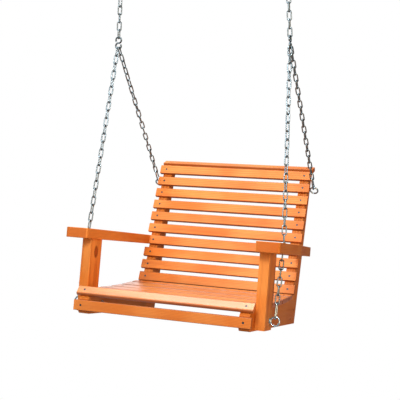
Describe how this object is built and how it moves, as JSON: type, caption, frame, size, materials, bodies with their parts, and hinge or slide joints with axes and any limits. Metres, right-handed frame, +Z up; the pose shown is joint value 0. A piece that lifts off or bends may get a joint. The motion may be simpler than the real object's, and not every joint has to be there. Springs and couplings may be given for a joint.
{
  "type": "porch swing",
  "caption": "Single-seat wooden porch swing with slatted roll back, slatted seat, flat arms and chains from two ceiling hangers.",
  "frame": {"origin": "on the ceiling, midway between the four bolt holes of the two hangers", "axes": "+Z up, out of the ceiling plates; +Y to the rear of the seat; +X to the sitter's left, which is the right as seen from the front"},
  "size_m": [0.828, 0.8838, 1.3554],
  "materials": {
    "frame_wood": "amber-stained softwood, satin oil finish, square planed edges lightly eased",
    "slat_wood": "amber-stained softwood slats, satin",
    "seat_wood": "amber-stained softwood boards, satin, a little paler",
    "chain_steel": "bright zinc-plated welded links",
    "hook_steel": "zinc-plated round bar and plate",
    "snap_steel": "bright plated",
    "bolt_steel": "zinc-plated, a little dull",
    "screw_steel": "dark zinc-plated screw heads"
  },
  "bodies": {
    "ceiling_hangers": {"hanger_left": "hook_steel", "hanger_right": "hook_steel"},
    "left_top_link": {"top_link_left": "chain_steel"},
    "right_top_link": {"top_link_right": "chain_steel"},
    "left_upper_chain": {"upper_chain_left": "chain_steel"},
    "right_upper_chain": {"upper_chain_right": "chain_steel"},
    "left_s_hook": {"s_hook_left": "hook_steel"},
    "right_s_hook": {"s_hook_right": "hook_steel"},
    "seat": {"arm_left": "frame_wood", "arm_post_left": "frame_wood", "arm_post_right": "frame_wood", "arm_rear_screws": "screw_steel", "arm_right": "frame_wood", "arm_screws": "screw_steel", "back_slat_01": "slat_wood", "back_slat_02": "slat_wood", "back_slat_03": "slat_wood", "back_slat_04": "slat_wood", "back_slat_05": "slat_wood", "back_slat_06": "slat_wood", "back_slat_07": "slat_wood", "back_slat_08": "slat_wood", "back_slat_09": "slat_wood", "back_slat_10": "slat_wood", "back_slat_screws": "screw_steel", "back_support_left": "frame_wood", "back_support_right": "frame_wood", "eye_bolt_nuts": "bolt_steel", "eye_bolt_washers": "bolt_steel", "eye_bolts_front": "bolt_steel", "eye_bolts_rear": "bolt_steel", "front_apron": "seat_wood", "front_chain_left": "chain_steel", "front_chain_right": "chain_steel", "front_roll_slat": "seat_wood", "gate_pins": "snap_steel", "lap_screws": "screw_steel", "post_screws": "screw_steel", "rear_chain_left": "chain_steel", "rear_chain_right": "chain_steel", "seat_board_1": "seat_wood", "seat_board_2": "seat_wood", "seat_board_3": "seat_wood", "seat_board_4": "seat_wood", "seat_board_5": "seat_wood", "seat_board_6": "seat_wood", "seat_screws": "screw_steel", "seat_support_left": "frame_wood", "seat_support_right": "frame_wood", "snap_front_left": "snap_steel", "snap_front_right": "snap_steel", "snap_rear_left": "snap_steel", "snap_rear_right": "snap_steel", "top_roll_slat": "slat_wood"},
    "front_left_gate": {"snap_gate_front_left": "snap_steel"},
    "front_right_gate": {"snap_gate_front_right": "snap_steel"},
    "rear_left_gate": {"snap_gate_rear_left": "snap_steel"},
    "rear_right_gate": {"snap_gate_rear_right": "snap_steel"}
  },
  "joints": [
    {"name": "swing", "type": "hinge", "parent": "ceiling_hangers", "child": "left_top_link", "pos_m": [-0.33675, 0, -0.034], "axis": [1, 0, 0], "range_deg": [-25, 25]},
    {"name": "swing_right", "type": "hinge", "parent": "ceiling_hangers", "child": "right_top_link", "pos_m": [0.33675, 0, -0.034], "axis": [1, 0, 0], "range_deg": [-25, 25]},
    {"name": "sway", "type": "hinge", "parent": "left_top_link", "child": "left_upper_chain", "pos_m": [-0.33842, 0, -0.06295], "axis": [0, 1, 0], "range_deg": [-5, 5]},
    {"name": "sway_right", "type": "hinge", "parent": "right_top_link", "child": "right_upper_chain", "pos_m": [0.33842, 0, -0.06295], "axis": [0, 1, 0], "range_deg": [-5, 5]},
    {"name": "level", "type": "hinge", "parent": "left_upper_chain", "child": "left_s_hook", "pos_m": [-0.34719, 0, -0.2152], "axis": [0, 1, 0], "range_deg": [-5.2, 5.2]},
    {"name": "level_right", "type": "hinge", "parent": "right_upper_chain", "child": "right_s_hook", "pos_m": [0.34685, 0, -0.20926], "axis": [0, 1, 0], "range_deg": [-5.2, 5.2]},
    {"name": "pitch", "type": "hinge", "parent": "left_s_hook", "child": "seat", "pos_m": [-0.3495, 0, -0.25518], "axis": [1, 0, 0], "range_deg": [-10, 10]},
    {"name": "gate_front_left", "type": "hinge", "parent": "seat", "child": "front_left_gate", "pos_m": [-0.3888, -0.25972, -1.15745], "axis": [1, 0, 0], "range_deg": [-20, 0], "stiffness_Nm_per_rad": 0.02},
    {"name": "gate_front_right", "type": "hinge", "parent": "seat", "child": "front_right_gate", "pos_m": [0.3888, -0.25972, -1.15745], "axis": [1, 0, 0], "range_deg": [-20, 0], "stiffness_Nm_per_rad": 0.02},
    {"name": "gate_rear_left", "type": "hinge", "parent": "seat", "child": "rear_left_gate", "pos_m": [-0.35181, 0.38258, -0.78489], "axis": [1, 0, 0], "range_deg": [-20, 0], "stiffness_Nm_per_rad": 0.02},
    {"name": "gate_rear_right", "type": "hinge", "parent": "seat", "child": "rear_right_gate", "pos_m": [0.35181, 0.38258, -0.78489], "axis": [1, 0, 0], "range_deg": [-20, 0], "stiffness_Nm_per_rad": 0.02}
  ],
  "couplings": [
    {"joint": "swing_right", "follows": "swing", "ratio": 1},
    {"joint": "sway_right", "follows": "sway", "ratio": 1},
    {"joint": "level", "follows": "sway", "ratio": -0.97488},
    {"joint": "level_right", "follows": "sway", "ratio": -0.97488}
  ]
}
